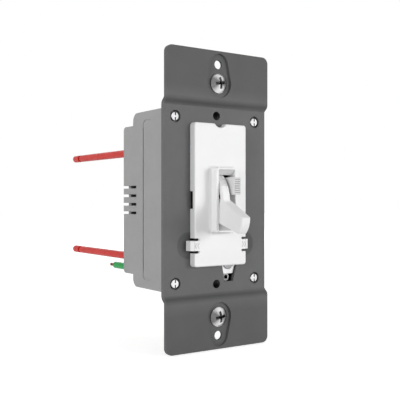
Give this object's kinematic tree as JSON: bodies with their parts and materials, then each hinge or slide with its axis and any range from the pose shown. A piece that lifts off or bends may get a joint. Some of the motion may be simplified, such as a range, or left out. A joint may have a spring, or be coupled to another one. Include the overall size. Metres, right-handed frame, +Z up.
{
  "type": "fan speed control switch",
  "caption": "Flush wall device on a steel strap: a toggle lever turns a ceiling fan on and a small slide knob beside it sets the speed.",
  "frame": {"origin": "on the rear face of the strap's ears, midway between the two device screws", "axes": "+X to the right seen from the front, +Y back into the wall, +Z up along the strap"},
  "size_m": [0.0444, 0.1406, 0.1062],
  "materials": {
    "strap_paint": "satin powder coat, dark grey",
    "housing_plastic": "fine moulded texture, mid grey",
    "white_plastic": "smooth moulded, low gloss white",
    "black_plastic": "moulded phenolic, black",
    "plated_steel": "bright zinc plate",
    "brass": "stamped brass",
    "silver_contact": "polished contact metal",
    "bronze_spring": "phosphor bronze strip",
    "copper_strand": "bare stranded copper",
    "board_laminate": "paper laminate board",
    "film_capacitor": "potted plastic case",
    "resistor_body": "coated ceramic rod",
    "fibre_sheet": "pressed insulating fibre",
    "red_insulation": "smooth extruded insulation, red",
    "green_insulation": "smooth extruded insulation, green"
  },
  "bodies": {
    "root": {"mounting_strap": "strap_paint", "trim_frame": "white_plastic", "back_housing": "housing_plastic", "switch_deck": "black_plastic", "device_screw_upper": "plated_steel", "device_screw_lower": "plated_steel", "screw_retainers": "white_plastic", "corner_screws": "plated_steel", "toggle_axle": "plated_steel", "rocker_terminal": "brass", "fixed_terminal": "brass", "fixed_contact": "silver_contact", "speed_contact_plate": "board_laminate", "speed_contact_pads": "silver_contact", "circuit_board": "board_laminate", "riser_pins": "brass", "capacitor_large": "film_capacitor", "capacitor_small": "film_capacitor", "bleed_resistors": "resistor_body", "insulating_sheet": "fibre_sheet", "ground_tongue": "plated_steel", "tongue_rivet": "plated_steel", "ground_lug": "plated_steel", "ground_conductor": "copper_strand", "green_lead": "green_insulation", "green_lead_tip": "copper_strand", "lead_tails": "copper_strand", "red_lead_upper": "red_insulation", "red_lead_lower": "red_insulation", "red_strand_upper": "copper_strand", "red_strand_lower": "copper_strand", "strip_slug_upper": "red_insulation", "strip_slug_lower": "red_insulation"},
    "toggle": {"toggle_lever": "white_plastic", "switch_plunger": "black_plastic", "plunger_spring": "plated_steel"},
    "rocker": {"contact_rocker": "bronze_spring", "moving_contact": "silver_contact"},
    "slider": {"speed_knob": "white_plastic", "slide_carriage": "black_plastic", "slide_wiper": "bronze_spring"}
  },
  "joints": [
    {"name": "toggle_hinge", "type": "hinge", "parent": "root", "child": "toggle", "pos_m": [0, 0.0029, 0], "axis": [-1, 0, 0], "range_deg": [0, 45]},
    {"name": "rocker_tilt", "type": "hinge", "parent": "root", "child": "rocker", "pos_m": [0, 0.0172, 0], "axis": [1, 0, 0], "range_deg": [0, 18]},
    {"name": "speed_slide", "type": "slide", "parent": "root", "child": "slider", "axis": [0, 0, 1], "range_m": [-0.0103, 0.0005]}
  ],
  "couplings": [
    {"joint": "rocker_tilt", "follows": "toggle_hinge", "ratio": 0.4}
  ]
}
